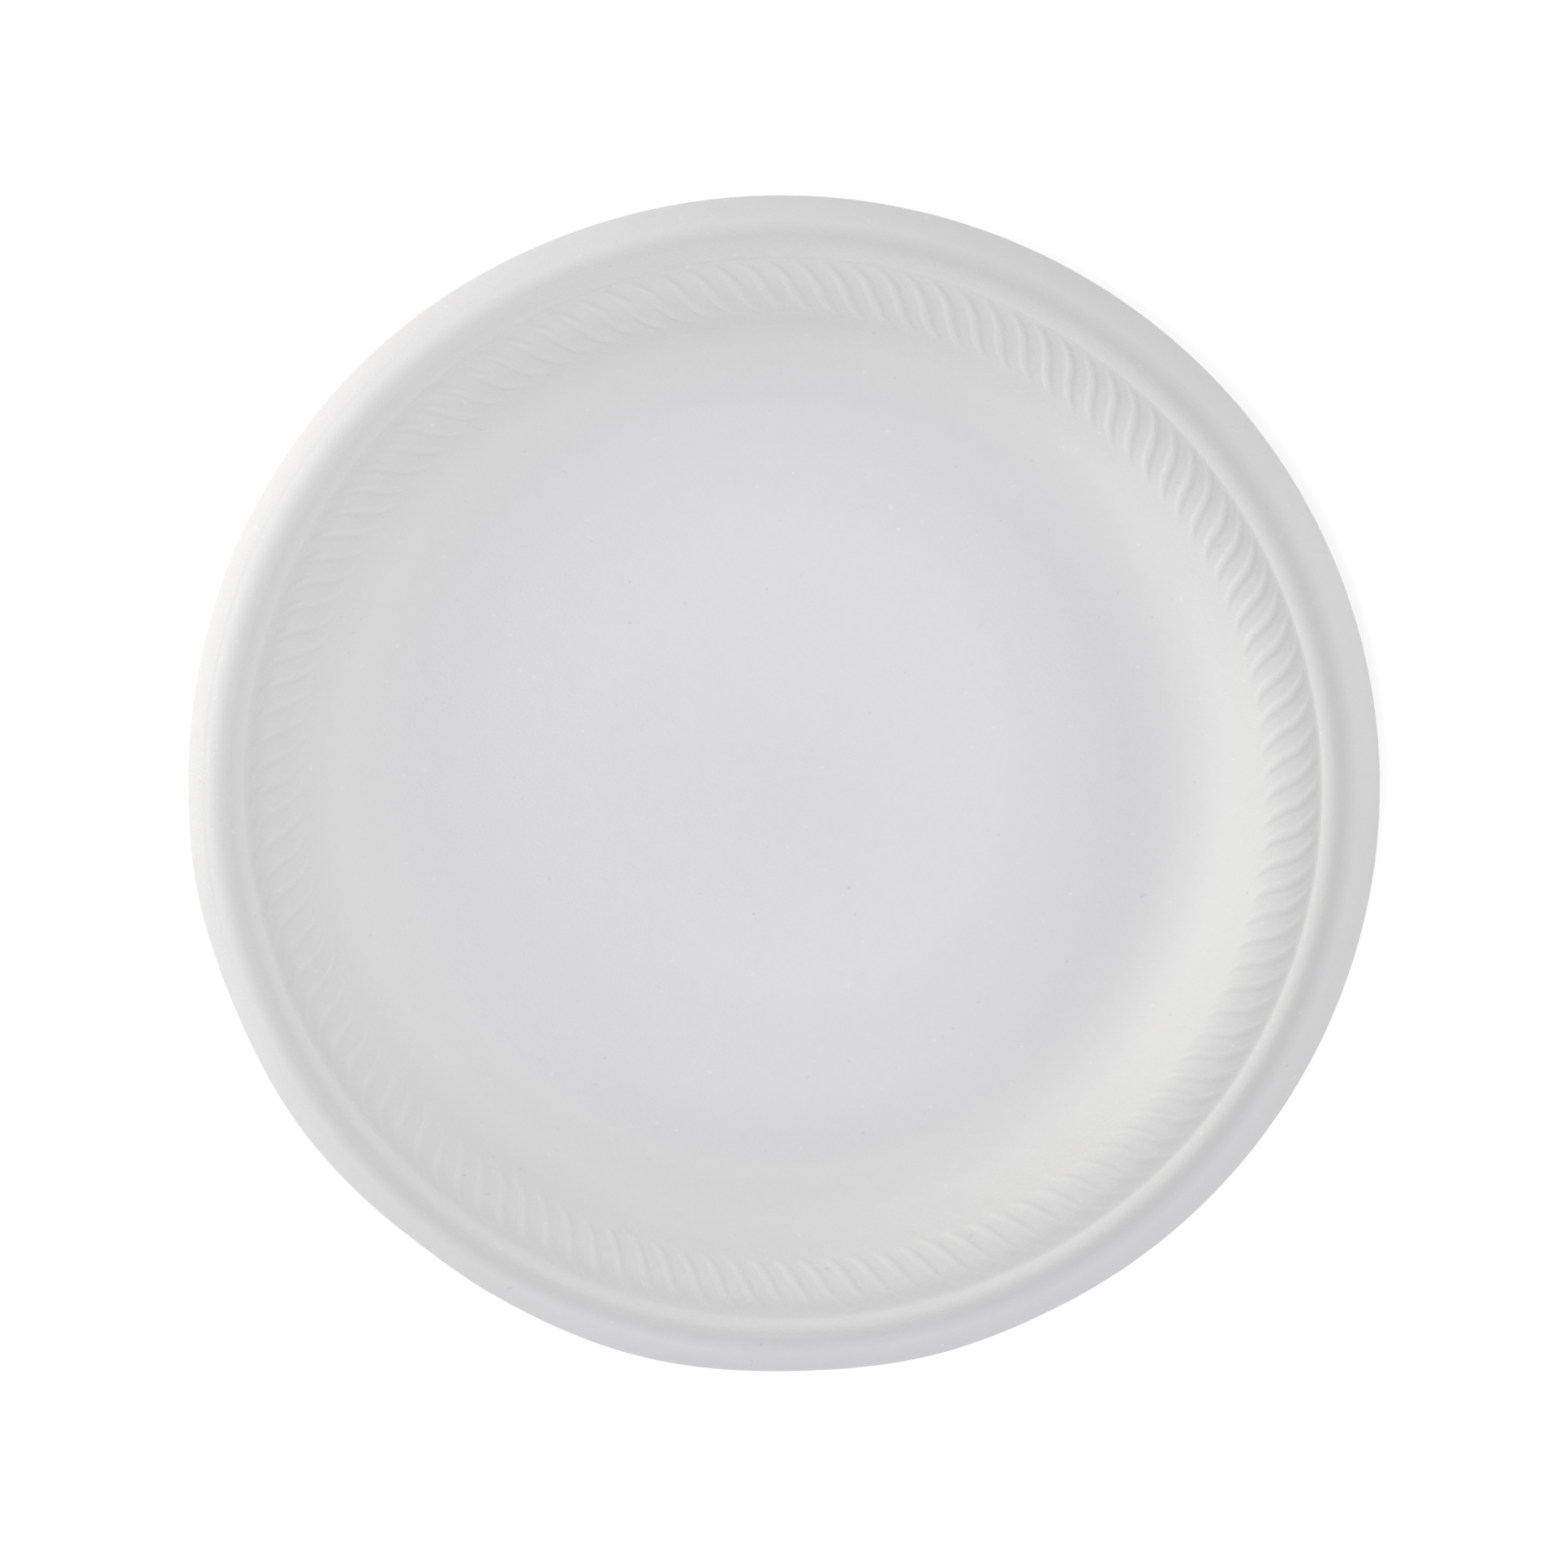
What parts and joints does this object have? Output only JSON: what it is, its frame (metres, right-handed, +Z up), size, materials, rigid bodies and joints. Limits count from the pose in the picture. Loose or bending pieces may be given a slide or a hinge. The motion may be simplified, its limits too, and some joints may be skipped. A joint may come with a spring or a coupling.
{
  "type": "foam plate",
  "caption": "Round disposable plate in thermoformed foam sheet, with a domed floor, a wall ending in a band of slanted S-curved ribs, a beaded crown and a rolled rim.",
  "frame": {"origin": "centre of the flat ring that the plate stands on, on the table's surface", "axes": "+Z up through the middle of the plate; the plate is turned alike about it, so +X and +Y are free"},
  "size_m": [0.225, 0.225, 0.0192],
  "materials": {
    "foam": "thermoformed closed-cell polystyrene foam sheet, matte with a fine cell grain"
  },
  "bodies": {
    "root": {"plate": "foam"}
  },
  "joints": []
}
